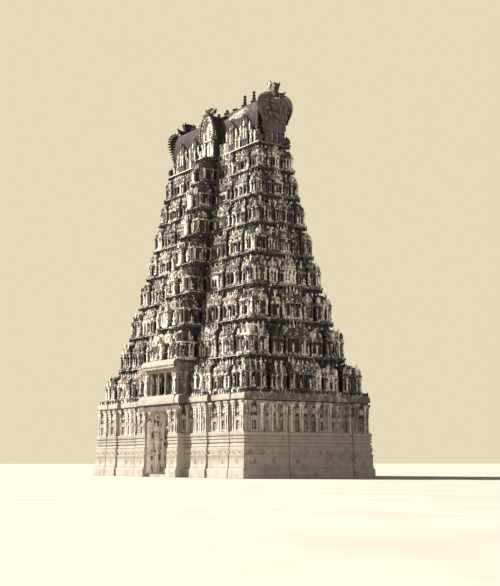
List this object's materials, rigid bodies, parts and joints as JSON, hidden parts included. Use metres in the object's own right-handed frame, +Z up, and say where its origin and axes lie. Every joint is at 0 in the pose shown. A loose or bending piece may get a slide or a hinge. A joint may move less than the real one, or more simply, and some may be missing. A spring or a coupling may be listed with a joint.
{
  "type": "gopuram gateway tower, scale model at 1:2",
  "caption": "Tall gateway tower with a carved stone base, a passage through it, plastered tiers of miniature shrines and a barrel roof with end gables.",
  "frame": {"origin": "middle of the footprint, on the ground", "axes": "+Z up, X along the long faces, front doorway facing -Y"},
  "size_m": [16.99, 9.71, 23.025],
  "materials": {
    "carved_stone": "weathered granite, cut and carved, with darker joints and streaks",
    "tier_plaster": "old lime plaster over brick, sun bleached with dark weather stains",
    "ledge_plaster": "old lime plaster with dark streaks under the edges",
    "wall_plaster": "old lime plaster, dark with weather",
    "roof_plaster": "dark weathered plaster",
    "finial_metal": "dark weathered plaster and dull metal"
  },
  "bodies": {
    "root": {"base_mouldings_left": "carved_stone", "base_mouldings_right": "carved_stone", "base_wall_left": "carved_stone", "base_wall_right": "carved_stone", "passage_floor": "carved_stone", "passage_ceiling": "carved_stone", "base_cornice": "carved_stone", "porch_front": "carved_stone", "porch_back": "carved_stone", "porch_eave_front": "carved_stone", "porch_eave_back": "carved_stone", "tier_1_shrines_left": "tier_plaster", "tier_1_shrines_right": "tier_plaster", "tier_2_shrines": "tier_plaster", "tier_3_shrines": "tier_plaster", "tier_4_shrines": "tier_plaster", "tier_5_shrines": "tier_plaster", "tier_6_shrines": "tier_plaster", "tier_7_shrines": "tier_plaster", "tier_8_shrines": "tier_plaster", "tier_1_ledge": "ledge_plaster", "tier_2_ledge": "ledge_plaster", "tier_3_ledge": "ledge_plaster", "tier_4_ledge": "ledge_plaster", "tier_5_ledge": "ledge_plaster", "tier_6_ledge": "ledge_plaster", "tier_7_ledge": "ledge_plaster", "tier_8_ledge": "ledge_plaster", "tier_1_wall": "wall_plaster", "tier_2_wall": "wall_plaster", "tier_3_wall": "wall_plaster", "tier_4_wall": "wall_plaster", "tier_5_wall": "wall_plaster", "tier_6_wall": "wall_plaster", "tier_7_wall": "wall_plaster", "tier_8_wall": "wall_plaster", "roof_neck": "wall_plaster", "barrel_roof": "roof_plaster", "gable_left": "roof_plaster", "gable_right": "roof_plaster", "dormer_front": "roof_plaster", "dormer_back": "roof_plaster", "ridge_finials": "finial_metal"}
  },
  "joints": []
}
